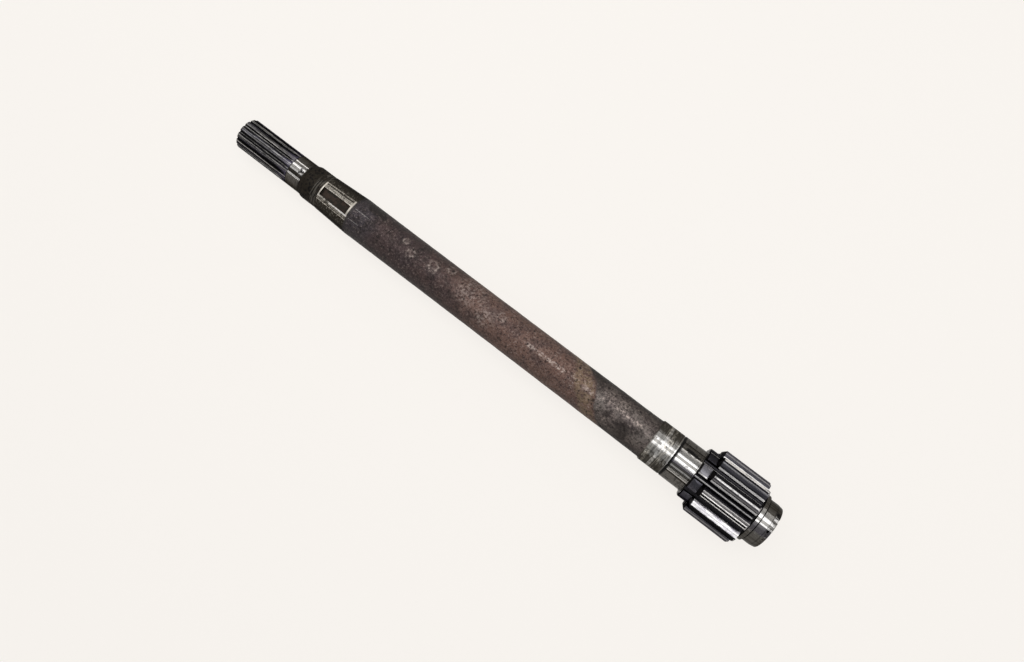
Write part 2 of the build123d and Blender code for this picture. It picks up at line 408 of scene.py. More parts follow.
def splines_finish(look):
    """Splines under oil: dark lands with thin rubbed lines, painted highlights on the walls that face up and
    on the floors, and painted shade in the grooves.
    """
    coat = Coat("oiled_splines")
    land = coat.rise(coat.radius, 18.7, 19.1)
    floor = coat.fall(coat.radius, 17.2, 17.6)
    streaks = coat.noise((70.0, 1.5), 3.0)
    spotty = coat.noise((9.0, 1.1), 4.0, 0.6, 3.0)
    wave = coat.noise((26.0, 5.0), 2.0, 0.5, 6.0) * 5.0 - 2.5
    # The pattern spans seven of the 13 splines, so that it meets itself between two of them.
    turn = coat.repeat(-96.92, 96.92)
    # The stripes paint highlights on the lands, on the walls that face up and on the floors.
    lines = coat.stripes(SPLINE_RUBS_AND_HIGHLIGHTS, 0.9, wave * land, turn) * coat.rise(coat.x, -625.3, -624.3)
    rubbed = lines * (0.4 + 0.6 * coat.rise(streaks, 0.4, 0.54))
    rubbed = rubbed * (0.45 + 0.55 * coat.rise(spotty, 0.4, 0.56))
    # The grooves get the near-black colour of dirt, which also paints their shade.
    coat.colour = coat.mix(coat.patches((20.0, 2.0), 0.48, 0.1) * land, look.dirt_and_shade, look.oiled)
    coat.lay(coat.rise(coat.x, -568.0, -552.0) * land * 0.25, look.violet)
    coat.lay(rubbed & 1.0, look.bright)
    end_face = coat.fall(coat.x, -625.4, -625.1)
    coat.lay(end_face * 0.7, look.stain)
    grime = coat.patches(4.0, 0.58)
    coat.lay(grime * 0.4, look.dirt_and_shade)
    roughness = 0.28 + 0.25 * coat.noise(1.6) - 0.08 * rubbed + 0.15 * end_face
    height = streaks * 0.6 + coat.noise(0.9) * 0.4
    metallic = 1 - 0.6 * ((1 - land) * (1 - floor) | end_face)
    return coat.finish(roughness, metallic, height, 0.12, 0.3, 0.12)


def recess_finish(look):
    """Oil and dirt in the turned grooves, which also paint their shade."""
    coat = Coat("recess_dirt_and_shade")
    coat.colour = coat.mix(coat.patches(2.0, 0.62), look.dirt_and_shade, look.film)
    return coat.finish(0.45 + 0.25 * coat.noise(1.2), 0.6, coat.noise(0.8), 0.1)


def land_finish(look):
    """The short ground land: a painted highlight on top, stripes of film and painted shade, with dark stains
    at its right edge.
    """
    coat = Coat("ground_land")
    lines = coat.noise((30.0, 0.9), 2.0, shift=3.0)
    stains = coat.patches(3.4, 0.58, 0.06, shift=7.0)
    edge = coat.rise(coat.x, -532.5, -530.0)
    ragged = coat.rise(coat.noise(1.3, shift=4.0), 0.36, 0.46)
    dirt = stains * (0.2 + 0.8 * edge) | edge * 0.3
    for x, angle, size in LAND_STAINS:
        dirt = dirt | coat.mark(x, angle, LAND_SKIN, size) * ragged
    # The stripes paint shade, and the bare steel left between them paints the highlight on top.
    film = coat.stripes(LAND_FILM_AND_SHADE, 0.9, coat.noise((8.0, 4.0)) * 2.0 - 1.0)
    film = film * (0.94 + 0.12 * lines) | coat.rise(lines, 0.5, 0.66) * 0.7
    coat.colour = coat.mix(film & 1.0, look.polish_and_highlight, look.film)
    arcs = coat.noise((0.9, 9.0), 3.0, 0.6, 8.0)
    coat.lay(coat.rise(arcs, 0.48, 0.58) * film * 0.5, look.stain)
    coat.lay(coat.fall(arcs, 0.36, 0.46) * film * 0.35, look.grey)
    coat.lay(dirt * 0.94, look.dirt_and_shade)
    roughness = 0.24 + 0.2 * dirt + 0.1 * coat.noise(1.5)
    return coat.finish(roughness, 1.0, lines + coat.noise((0.3, 20.0)) * 0.3, 0.03)


def neck_finish(look):
    """The neck: brown-black, with a few faint turned rings."""
    coat = Coat("stained_neck")
    rings = coat.noise((0.9, 40.0), 2.0)
    arcs = coat.rise(coat.noise((1.1, 12.0), 3.0, 0.5, 7.0), 0.5, 0.6)
    arcs = arcs * coat.band(coat.x, -509.0, -501.8, 3.0)
    worn = coat.rise(rings, 0.56, 0.74) * 0.4 | arcs * 0.5
    coat.colour = coat.mix(coat.patches(3.0, 0.55), look.stain, look.dirt_and_shade)
    coat.lay(worn, look.film)
    coat.lay(arcs * 0.12, look.cream)
    height = rings + coat.noise(1.0) * 0.6
    return coat.finish(0.5 + 0.2 * coat.noise(1.4), 0.7, height, 0.12, 0.2)


def taper_finish(look):
    """The keyed taper: steel with brown-black stain, rubbed bare in strips beside the keyway, scratched
    across, and with painted shade down its sides.
    """
    coat = Coat("stained_taper")
    fret = coat.noise((0.9, 3.2), 4.0, 0.62, 4.0)
    streaks = coat.noise((12.0, 0.8), 3.0, 0.5, 2.0)
    strips = coat.stripes(TAPER_RUBBED, 0.6, coat.noise(2.6) * 3.6 - 1.8, coat.angle)
    ends = coat.band(coat.x, -500.8, -499.4, 0.3) | coat.band(coat.x, -459.2, -457.4, 0.4) * 0.8
    strips = strips * coat.fall(coat.x, -457.6, -456.6)
    near = coat.band(coat.angle, -34.0, 16.0, 2.0)
    bare = strips * (0.22 + 0.78 * coat.rise(fret, 0.42, 0.54)) * (0.5 + 0.5 * coat.rise(streaks, 0.36, 0.5))
    gap = coat.band(coat.x + 6.0 * (fret - 0.5), -489.0, -484.0, 1.2)
    gap = gap * coat.band(coat.angle, 10.0, 24.0, 1.0)
    bare = (bare | ends * near * 0.9) * (1 - 0.8 * gap) & 1.0
    scratched = coat.rise(fret, 0.54, 0.66) * coat.fall(abs(coat.angle), 40.0, 62.0)
    forged = coat.rise(coat.x, -457.6, -456.0)
    scratched = scratched * (1 - forged)
    coat.colour = coat.mix(coat.patches(5.0, 0.52), look.stain, look.film)
    # Painted shade down both sides.
    coat.lay(coat.rise(abs(coat.angle), 46.0, 80.0) * 0.2, look.dirt_and_shade)
    coat.lay(scratched * 0.3, look.cream)
    coat.lay(bare, look.cream)
    polished = coat.band(coat.angle, 12.9, 16.2, 0.5) * (0.3 + 0.7 * coat.rise(coat.x, -486.0, -478.0))
    coat.lay(bare * polished, look.polish_and_highlight)
    coat.lay(forged * 0.5, look.slate)
    coat.lay(forged * coat.rise(coat.noise(1.4, 5.0, 0.7), 0.5, 0.64) * 0.5, look.grey)
    roughness = 0.42 - 0.12 * bare + 0.2 * coat.noise(1.5)
    height = fret * 0.6 + coat.noise((0.5, 20.0)) * 0.4
    return coat.finish(roughness, 0.85, height, 0.08)


def keyway_finish(look):
    """The keyway's floor and walls: dark brown, with a few paler specks."""
    coat = Coat("keyway_floor")
    specks = coat.patches(1.8, 0.62, 0.04, shift=5.0)
    coat.colour = coat.mix(coat.patches(5.0, 0.5), look.stain, linear(60, 49, 43))
    coat.lay(specks * 0.6, look.film)
    return coat.finish(0.55 + 0.2 * coat.noise(1.0), 0.4, coat.noise(1.2), 0.15)


def shank_finish(look):
    """The forged shank: scale, then rust, then a greyer skin, with a crack, pits, pale scuffs and painted
    shade down its sides.
    """
    coat = Coat("forged_shank")
    broad = coat.noise(38.0, 4.0, 0.6)
    fine = coat.noise(2.6, 6.0, 0.72, 2.0)
    grain = coat.noise(1.1, 3.0, 0.6, 9.0)
    lean = coat.x - 0.3 * coat.angle + broad * 40.0 - 20.0
    blotch = coat.rise(coat.noise(17.0, 5.0, 0.62, 5.0), 0.36, 0.62)
    front = lean - 16.0 * (broad - 0.5) + 12.0 * (fine - 0.5)
    bare = coat.rise(front, -117.0, -111.0)
    rusty = coat.rise(lean, -370.0, -230.0) * (1 - bare)
    coat.colour = coat.mix((rusty * (0.5 + 0.5 * blotch) + 0.12 * blotch) & 1.0, look.scale, look.rust)
    tan = coat.band(front, -136.0, -119.0, 5.0) * (0.1 + 0.6 * coat.patches(7.0, 0.48, 0.08, shift=14.0))
    coat.lay(tan, look.tan)
    coat.lay(bare * (0.4 + 0.55 * blotch), look.grey)
    cold = coat.fall(coat.x + 20.0 * (broad - 0.5), -436.0, -414.0)
    coat.lay(cold * 0.7, look.slate)
    dark = coat.patches(9.0, 0.55, 0.08, 5.0, 0.62, 12.0) * (1 - 0.7 * rusty)
    corner = coat.band(coat.x - 0.3 * coat.angle, -427.0, -406.0, 4.0)
    corner = corner * coat.fall(coat.angle, -42.0, -35.0)
    for low, high, angle in SCRATCHES:
        scratch = coat.band(coat.angle, angle - 0.5, angle + 0.5, 0.6) * coat.band(coat.x, low, high, 2.0)
        coat.lay(scratch * coat.rise(grain, 0.36, 0.5) * 0.5, look.bright)
    near_front = coat.band(front, -112.0, -104.0, 6.0) * coat.fall(coat.angle, -24.0, -8.0)
    coat.lay(dark * 0.6 | near_front * 0.6 | corner * 0.9, look.dark_skin_and_shade)
    coat.lay(coat.fall(fine, 0.38, 0.49) * 0.8, look.dark_skin_and_shade)
    pale = coat.rise(fine, 0.54, 0.66) * (0.3 + 0.3 * coat.rise(broad, 0.45, 0.6))
    pale = (pale | coat.rise(grain, 0.58, 0.66) * 0.3) * (0.55 + 0.45 * coat.rise(lean, -300.0, -220.0))
    cloudy = coat.patches(3.4, 0.5, 0.1, 4.0, 0.65, 21.0)
    scuffed = 0.0
    for x, angle, size in SCUFFED_RINGS:
        inside = coat.mark(x, angle, SHANK_SKIN, size * 0.7)
        scuffed = coat.mark(x, angle, SHANK_SKIN, size) * (1 - 0.75 * inside) | scuffed
    for low, high, angle, share in SCUFFED_ROWS:
        row = coat.band(coat.x, low, high, 4.0) * coat.band(coat.angle, angle - 3, angle + 3, 5.0)
        scuffed = scuffed | row * share
    for x, angle, size in CLOUDY:
        scuffed = scuffed | coat.mark(x, angle, SHANK_SKIN, size) * 0.5
    scuffed = scuffed * cloudy * coat.rise(fine, 0.4, 0.58)
    coat.lay(pale | scuffed, look.scuff)
    pitted = coat.spots(7.5, 0.2) * coat.patches(20.0, 0.5)
    for x, angle, size in PITS:
        pitted = pitted | coat.mark(x, angle, PIT_FLOOR, size)
    crack = coat.x + 0.0873 * coat.angle + 407.85 + 1.2 * (fine - 0.5)
    pitted = pitted | coat.band(crack, -0.35, 0.35, 0.3) * coat.band(coat.angle, -66.0, -15.0, 4.0)
    coat.lay(pitted * 0.8, look.dark_skin_and_shade)
    oily = coat.mark(-73.0, 24.0, SHANK_SKIN, 15.0) * 0.7
    coat.lay(oily, look.dark_skin_and_shade)
    # Painted shade down both sides.
    side = coat.rise(abs(coat.angle + 4.0), 18.0, 70.0)
    coat.lay(side * (0.42 - 0.2 * rusty + 0.3 * bare + 0.2 * cold), look.dark_skin_and_shade)
    roughness = 0.5 + 0.25 * (fine - 0.5) - 0.12 * oily - 0.1 * scuffed - 0.08 * bare
    height = fine * 0.7 + grain * 0.3 - pitted * 0.6
    return coat.finish(roughness, 0.4 + 0.2 * bare, height, 0.5, 0.35)


def turned_finish(look):
    """The finely turned stretch: scratched rings, stripes of oil film and painted shade, painted highlights,
    and the seal's paler worn band.
    """
    coat = Coat("turned_steel")
    rings = coat.noise((1.3, 60.0), 4.0, 0.65)
    arcs = coat.noise((1.5, 9.0), 4.0, 0.65, 5.0)
    lines = coat.noise((25.0, 1.1), 3.0, 0.5, 6.0)
    worn = coat.patches((9.0, 2.6), 0.46, 0.06, shift=4.0)
    seal = coat.band(coat.x, -31.4, -28.2, 0.4) * (0.35 + 0.65 * worn)
    # The stripes and the sides paint shade, and the bare steel between the stripes paints highlights.
    film = coat.stripes(TURNED_FILM_AND_SHADE, 1.2, coat.noise(4.0) * 3.0 - 1.5)
    side = coat.rise(abs(coat.repeat() + 4.0) + 50.0 * (arcs - 0.5), 24.0, 36.0)
    scored = coat.rise(rings, 0.46, 0.56)
    film = film | 0.62 * scored | 0.5 * coat.rise(lines, 0.45, 0.62) | 0.95 * side
    film = film * (1 - 0.6 * seal)
    coat.colour = coat.mix(film, look.bright, look.film)
    coat.lay(coat.rise(arcs, 0.54, 0.64) * 0.6, look.stain)
    coat.lay(coat.fall(arcs, 0.36, 0.44) * side * 0.4, look.grey)
    broken = coat.rise(coat.noise((3.0, 6.0), 3.0, 0.6, 13.0), 0.4, 0.55)
    hairs = coat.rise(coat.noise((2.2, 45.0), 2.0, 0.5, 11.0), 0.5, 0.58) * broken
    coat.lay(hairs * (0.6 - 0.32 * side), look.cream)
    # Painted highlight bands along the top.
    shine = coat.stripes([(-18.5, -13.5, 0.7), (-4.5, 1.0, 0.7)], 1.5)
    coat.lay(shine * (1 - 0.6 * scored), look.polish_and_highlight)
    lip = coat.band(coat.x, -16.4, -15.6, 0.15) * 0.5
    coat.lay((lip | seal * 0.3) * (1 - 0.8 * side), look.polish_and_highlight)
    dirt = coat.patches(4.5, 0.62, 0.06) | coat.fall(coat.x, -42.2, -41.2) * 0.9
    coat.lay(dirt * 0.7, look.stain)
    roughness = 0.28 + 0.14 * coat.noise(2.0) + 0.15 * dirt
    return coat.finish(roughness, 1.0, rings, 0.025, edge=0.45)


def seat_finish(look):
    """The ground bearing seat: painted highlights along the top, stripes of film and painted shade, a
    brown-black stain and a painted dark reflection.
    """
    coat = Coat("bearing_seat")
    rings = coat.noise((0.5, 60.0), 2.0)
    lines = coat.noise((60.0, 1.4), 3.0, 0.5, 2.0)
    # The stripes paint shade, and the bare steel between them paints highlights.
    film = coat.stripes(SEAT_FILM_AND_SHADE, 0.8, coat.noise((14.0, 5.0)) * 1.6 - 0.8)
    film = (film * (0.8 + 0.4 * lines) | 0.3 * coat.rise(lines, 0.5, 0.6)) & 1.0
    arcs = coat.noise((1.3, 8.0), 4.0, 0.65, 5.0)
    # The sides get dark and grey arcs; the dark ones paint shade.
    side = coat.rise(abs(coat.repeat() + 4.0), 36.0, 44.0)
    coat.colour = coat.mix(film, look.bright, look.film)
    coat.lay(coat.rise(arcs, 0.5, 0.62) * side * 0.5, look.dirt_and_shade)
    coat.lay(coat.fall(arcs, 0.38, 0.46) * side * 0.3, look.grey)
    # Painted highlight bands along the top.
    shine = coat.stripes([(-18.0, -13.4, 0.8), (-5.0, 1.6, 0.8)], 1.2)
    coat.lay(shine * (1 - 0.4 * coat.rise(rings, 0.5, 0.6)), look.polish_and_highlight)
    # A brown-black stain, and a painted dark reflection in a thin band along the whole seat.
    stain_and_painted_reflection = coat.band(coat.angle, -43.0, -34.8, 1.4) * coat.band(coat.x, -8.0, 9.5, 1.0)
    stain_and_painted_reflection = stain_and_painted_reflection | coat.band(coat.angle, -53.6, -51.2, 0.5) * 0.9
    stain_and_painted_reflection = stain_and_painted_reflection * coat.patches((6.0, 3.0), 0.4) | coat.patches(5.0, 0.66, 0.05, shift=8.0) * 0.8
    coat.lay(stain_and_painted_reflection * 0.9, look.dirt_and_shade)
    ends = coat.fall(coat.x, -12.9, -11.7) | coat.rise(coat.x, 12.3, 12.9)
    coat.lay(ends * 0.85, look.dirt_and_shade)
    bluish = coat.band(coat.angle, 2.5, 8.5, 1.5) * (1 - film * 0.6)
    coat.lay(bluish * 0.4, look.violet)
    roughness = 0.2 + 0.12 * coat.noise(2.5) + 0.2 * stain_and_painted_reflection
    return coat.finish(roughness, 1.0, rings + lines * 0.5, 0.02, edge=0.6)


def pinion_finish(look):
    """The hardened pinion: dark and oily, with rubbed tooth edges, worn flanks with painted highlights,
    painted glints and painted shade.
    """
    coat = Coat("oiled_teeth")
    streaks = coat.noise((45.0, 1.2), 3.0, 0.55, 4.0)
    spotty = coat.noise((6.0, 1.3), 4.0, 0.62, 8.0)
    teeth = coat.rise(coat.x, 28.0, 28.7)
    flank = coat.band(coat.radius, 28.6, 38.3, 0.3) * teeth
    tip = coat.rise(coat.radius, 38.25, 38.5) * teeth
    line = coat.band(coat.radius, 35.9, 36.7, 0.4) * teeth
    root = coat.fall(coat.radius, 27.3, 28.0)
    low_tip = coat.band(coat.radius, 30.2, 30.7, 0.1) * coat.fall(coat.x, 24.7, 24.9)
    half_turn = coat.repeat(-98.0, 82.0)
    coat.colour = coat.mix(flank * (0.4 + 0.45 * coat.rise(streaks, 0.36, 0.6)), look.dirt_and_shade, look.flank)
    coat.lay(tip * 0.25, look.flank)
    # Painted light on the low tips that face the lamp, and painted shade on those of one side.
    painted_lit_top = coat.band(half_turn, -28.0, -8.0, 1.0)
    painted_shade_side = coat.fall(half_turn, -44.0, -36.0)
    coat.lay(low_tip * (0.62 + 0.38 * painted_lit_top - 0.4 * painted_shade_side), look.flank)
    coat.lay(low_tip * painted_lit_top * 0.12, look.bright)
    coat.lay(root * 0.15, look.flank)
    coat.lay(line * 0.3 * coat.rise(streaks, 0.32, 0.48), look.bright)

    def worn(table):
        """A mask of bands with ragged inner edges, each on one side of a tooth."""
        mask = 0.0
        for low, high, inner, outer, share in table:
            ragged = inner + (streaks - 0.5)
            band = coat.rise(coat.radius, ragged - 0.3, ragged + 0.1) * coat.band(half_turn, low, high, 0.3)
            worn_off = coat.rise(coat.radius + 1.4 * (spotty - 0.5), outer, outer + 0.4)
            mask = band * (1 - worn_off) * share | mask
        return mask

    patchy = 0.75 + 0.25 * coat.rise(spotty, 0.36, 0.5)
    # Painted highlights on the ledges, the worn flanks and the roots.
    ledges = worn(LEDGES_AND_ROOT_GLINTS) * (teeth | root) & 1.0
    bands = worn(WORN_FLANK_HIGHLIGHTS) * teeth
    coat.lay((bands | ledges) * patchy, look.polish_and_highlight)
    smudge = coat.patches((13.0, 2.2), 0.5, 0.05, shift=6.0) * coat.band(half_turn, 40.0, 52.5, 0.3)
    coat.lay(smudge * bands * 0.5, look.violet)
    hatch = coat.rise(coat.noise((3.0, 0.8), 3.0, 0.6, 2.0), 0.52, 0.62) * tip
    coat.lay(hatch * coat.band(half_turn, -62.0, -50.0, 1.0) * 0.45, look.violet)
    # Painted shade along some tip edges.
    coat.lay(worn(PAINTED_SHADE_EDGES) * teeth, look.dirt_and_shade)
    # Painted highlights on the edges of the low tips.
    low_edge = (coat.band(half_turn, -66.5, -64.0, 0.4) | coat.band(half_turn, -9.0, -7.2, 0.4)) * low_tip
    coat.lay(low_edge * 0.8, look.polish_and_highlight)
    # Painted glints at the tooth ends.
    glint = coat.rise(coat.x, 82.1, 82.6) * coat.rise(coat.radius, 37.3, 37.9)
    coat.lay(glint * 0.8, look.polish_and_highlight)
    grime = coat.patches(5.0, 0.6, 0.07, shift=3.0)
    coat.lay(grime * (0.15 + 0.35 * (1 - flank)) * (1 - ledges), look.dirt_and_shade)
    roughness = 0.22 + 0.2 * coat.noise(2.2) + 0.1 * grime
    height = streaks * 0.5 + coat.noise(1.0) * 0.4
    return coat.finish(roughness, 1 - 0.8 * ledges, height, 0.04)


def journal_finish(look):
    """The shoulder ring and the end journal: olive film and painted shade over bright steel, painted
    highlights, and dark marks at the rim.
    """
    coat = Coat("end_journal")
    rings = coat.noise((0.5, 60.0), 3.0)
    lines = coat.noise((30.0, 1.6), 3.0, 0.5, 5.0)
    # The stripes paint shade, and the bare steel between them paints highlights.
    film = coat.stripes(JOURNAL_FILM_AND_SHADE, 2.5, coat.noise(5.0) * 3.0 - 1.5)
    film = (film * (0.75 + 0.5 * lines) | 0.35 * coat.rise(lines, 0.48, 0.6)) & 1.0
    coat.colour = coat.mix(film, look.bright, look.film)
    streaks = coat.noise((14.0, 1.2), 4.0, 0.65, 9.0)
    coat.lay(coat.rise(streaks, 0.5, 0.62) * 0.35, look.stain)
    bluish = coat.band(coat.repeat(), 2.0, 20.0, 3.0) * (0.4 + 0.6 * lines)
    coat.lay(bluish * 0.35, look.violet)
    # Painted highlight bands along the top.
    shine = coat.stripes([(-18.8, -11.8, 0.9), (-3.0, 0.0, 0.75)], 1.2)
    coat.lay(shine, look.polish_and_highlight)
    undercut = coat.band(coat.x, 90.75, 92.2, 0.15)
    ragged = coat.rise(coat.noise(1.8, shift=4.0), 0.36, 0.48)
    rim = coat.rise(coat.x, 101.0, 105.0) * coat.patches(3.0, 0.5, 0.05, shift=2.0)
    coat.lay(rim * 0.5, look.stain)
    line = coat.band(coat.x, 101.0, 101.8, 0.3) * 0.5
    for x, angle, size in JOURNAL_STAINS:
        line = line | coat.mark(x, angle, RIM_SKIN, size) * ragged
    # The undercut, a ring line and the stains get near-black dirt; in the undercut it also paints shade.
    coat.lay((undercut | line) & 1.0, look.dirt_and_shade)
    past_lead = coat.rise(coat.x, 101.9, 102.3) * coat.fall(coat.x, 107.0, 107.4)
    # Painted highlight on the slot's floor.
    slot_floor = past_lead * coat.band(coat.angle, -36.4, -25.6, 0.4)
    coat.lay(slot_floor, look.polish_and_highlight)
    # Painted shade in the pocket.
    pocket = coat.band(coat.x, 102.4, 104.8, 0.1) * coat.band(coat.angle, 1.0, 7.2, 0.3)
    coat.lay(pocket, look.dirt_and_shade)
    end_face = coat.rise(coat.x, 107.2, 107.4)
    coat.lay(end_face, coat.mix(coat.patches(4.0, 0.5), look.film, look.stain))
    roughness = 0.26 + 0.16 * coat.noise(2.0) + 0.3 * pocket
    height = rings + coat.noise(1.2) * 0.5
    return coat.finish(roughness, 1 - 0.85 * slot_floor, height, 0.03, edge=0.6)


# Each finish, with the place along X where its stretch of the shaft ends.
FINISHES = [
    (splines_finish, SPLINES_END),
    (recess_finish, LAND_LEFT),
    (land_finish, LAND_RIGHT),
    (neck_finish, TAPER_LEFT),
    (taper_finish, SHANK_LEFT),
    (shank_finish, SHANK_RIGHT),
    (turned_finish, TURNED_RIGHT),
    (recess_finish, SEAT_LEFT),
    (seat_finish, REAR_FACE),
    (pinion_finish, TEETH_END),
    (recess_finish, RING_LEFT),
    (journal_finish, RIGHT_END),
]


def active_piece():
    """The piece, active and selected alone, so that operators act on it."""
    bpy.ops.object.select_all(action="DESELECT")
    piece = bpy.data.objects[PIECE]
    piece.select_set(True)
    bpy.context.view_layer.objects.active = piece
    return piece


def select(piece, wanted, kind):
    """Selects just the faces, edges or vertices that wanted accepts, and goes back to edit mode."""
    bpy.ops.mesh.select_all(action="DESELECT")
    bpy.ops.mesh.select_mode(type=kind)
    bpy.ops.object.mode_set(mode="OBJECT")
    mesh = piece.data
    items = {"FACE": mesh.polygons, "EDGE": mesh.edges, "VERT": mesh.vertices}[kind]
    count = 0
    for item in items:
        item.select = wanted(item)
        count += item.select
    bpy.ops.object.mode_set(mode="EDIT")
    return count


def within(low, high):
    """A test of a face: its centre lies between two places along X."""
    return lambda face: low < face.center.x < high


def from_axis(point):
    """The distance of a point from the shaft's axis."""
    return math.hypot(point.y, point.z)


def reloft(piece, low, high, cuts):
    """Swaps the long thin triangles between two rings for even quads."""
    select(piece, within(low, high), "FACE")
    bpy.ops.mesh.delete(type="FACE")
    bpy.ops.mesh.select_mode(type="EDGE")
    bpy.ops.mesh.select_all(action="DESELECT")
    bpy.ops.mesh.select_non_manifold()
    bpy.ops.mesh.bridge_edge_loops(number_cuts=cuts)


def edge_ends(mesh, edge):
    """The places of an edge's two vertices."""
    return [mesh.vertices[index].co for index in edge.vertices]


def round_off(piece, stretches, cuts):
    """Splits the facets round each stretch and lays the new points on its curve."""
    inside = [within(low + STEP_GAP, high - STEP_GAP) for low, high in stretches]
    select(piece, lambda face: any(test(face) for test in inside), "FACE")
    bpy.ops.mesh.tris_convert_to_quads(face_threshold=math.radians(5), shape_threshold=math.radians(180))

    def is_facet(edge):
        """Whether an edge is one of the even steps round the axis, in one of the stretches."""
        first, second = edge_ends(piece.data, edge)
        same = 0.01 * MM
        level = abs(first.x - second.x) < same and abs(from_axis(first) - from_axis(second)) < same
        placed = any(low - STEP_GAP < first.x < high + STEP_GAP for low, high in stretches)
        return level and placed and math.radians(7) < first.yz.angle(second.yz, 0.0) < math.radians(10)

    select(piece, is_facet, "EDGE")
    bpy.ops.mesh.subdivide(number_cuts=cuts, smoothness=1.0)


def split_along(piece, low, high, cuts):
    """Splits the edges that run along X, for a skin fine enough to be roughened."""

    def along(edge):
        left, right = sorted(end.x for end in edge_ends(piece.data, edge))
        return right - left > 2 * MM and low <= left and right <= high

    select(piece, along, "EDGE")
    bpy.ops.mesh.subdivide(number_cuts=cuts)


def wear_edges(piece, radius, low, high, width):
    """Bevels the edges that run along X at that radius, where use has rounded them."""
    mesh = piece.data
    bpy.ops.object.mode_set(mode="OBJECT")
    normals = {}
    for face in mesh.polygons:
        for key in face.edge_keys:
            normals.setdefault(key, []).append(face.normal.copy())
    bpy.ops.object.mode_set(mode="EDIT")

    def worn(edge):
        ends = edge_ends(mesh, edge)
        sides = normals.get(edge.key, [])
        return (
            len(sides) == 2
            and all(low <= end.x <= high and abs(from_axis(end) - radius) < 0.1 * MM for end in ends)
            and abs(ends[0].x - ends[1].x) > 2 * MM
            and sides[0].angle(sides[1], 0.0) > math.radians(30)
        )

    if not select(piece, worn, "EDGE"):
        raise RuntimeError("no edge was found to wear")
    bpy.ops.mesh.bevel(offset=width, segments=2, affect="EDGES")


def dent(piece, x, angle, size, depth):
    """Pushes the skin inwards around one place."""
    outward = away_at(angle)
    start = Vector((x, 0.0, 0.0))
    side = [v for v in piece.data.vertices if abs(v.co.x - x) < 2 * MM and v.co.dot(outward) > 0.0]
    skin = [v for v in side if from_axis(v.co) > 20 * MM]

    def off_line(vertex):
        """How far a vertex lies from the line that leaves the axis at that place and angle."""
        offset = vertex.co - start
        return (offset - outward * offset.dot(outward)).length

    nearest = min(skin, key=off_line).index
    select(piece, lambda vertex: vertex.index == nearest, "VERT")
    bpy.ops.transform.translate(
        value=-depth * outward,
        use_proportional_edit=True,
        proportional_edit_falloff="SMOOTH",
        proportional_size=size,
    )


def roughen(piece, name, group, size, depth):
    """Sinks the grouped skin by procedural noise, and applies it."""
    texture = bpy.data.textures.new(name, "CLOUDS")
    texture.noise_scale = size
    texture.noise_depth = 3
    texture.contrast = 1.6
    displace = piece.modifiers.new(name, "DISPLACE")
    displace.texture = texture
    displace.texture_coords = "LOCAL"
    displace.vertex_group = group
    displace.mid_level = 0.0
    displace.strength = -depth
    bpy.ops.object.modifier_apply(modifier=name)
    bpy.data.textures.remove(texture)


class SHAFT_OT_copy_solid(bpy.types.Operator):
    """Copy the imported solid, join its loose triangles and even out its long facets"""

    bl_idname = "shaft.copy_solid"
    bl_label = "Copy the solid"

    def execute(self, context):
        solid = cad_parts[SOLID]
        piece = bpy.data.objects.new(PIECE, solid.data.copy())
        context.collection.objects.link(piece)
        piece.data.name = PIECE
        piece.data.materials.clear()
        active_piece()
        bpy.ops.mesh.customdata_custom_splitnormals_clear()
        bpy.ops.object.mode_set(mode="EDIT")
        bpy.ops.mesh.select_all(action="SELECT")
        bpy.ops.mesh.remove_doubles(threshold=0.001 * MM)
        reloft(piece, CONE_END + STEP_GAP, SHANK_RIGHT - STEP_GAP, cuts=62)
        reloft(piece, SHANK_LEFT + STEP_GAP, CONE_END - STEP_GAP, cuts=29)
        bpy.ops.object.mode_set(mode="OBJECT")
        return {"FINISHED"}


class SHAFT_OT_wear_teeth(bpy.types.Operator):
    """Wear the edges of the tooth tips round"""

    bl_idname = "shaft.wear_teeth"
    bl_label = "Wear the tooth edges"

    def execute(self, context):
        wear = context.scene.shaft_wear
        piece = active_piece()
        bpy.ops.object.mode_set(mode="EDIT")
        for radius in (TIP_RADIUS, LOW_TIP_RADIUS):
            wear_edges(piece, radius, REAR_FACE, TEETH_END, wear.tip_wear)
        bpy.ops.object.mode_set(mode="OBJECT")
        return {"FINISHED"}


class SHAFT_OT_round_steps(bpy.types.Operator):
    """Round the facets of the shank, the seats and the end journal"""

    bl_idname = "shaft.round_steps"
    bl_label = "Round the turned stretches"

    def execute(self, context):
        piece = active_piece()
        bpy.ops.object.mode_set(mode="EDIT")
        stretches = (
            (LAND_LEFT, TAPER_LEFT),
            (SHANK_LEFT, TURNED_RIGHT),
            (SEAT_LEFT, SEAT_RIGHT),
            (RING_LEFT, LEAD_LEFT),
        )
        round_off(piece, stretches, cuts=3)
        split_along(piece, SHANK_LEFT - STEP_GAP, SHANK_RIGHT + STEP_GAP, cuts=3)
        select(piece, within(LEAD_LEFT, RIGHT_END - STEP_GAP), "FACE")
        bpy.ops.mesh.subdivide(number_cuts=2)
        bpy.ops.object.mode_set(mode="OBJECT")
        return {"FINISHED"}


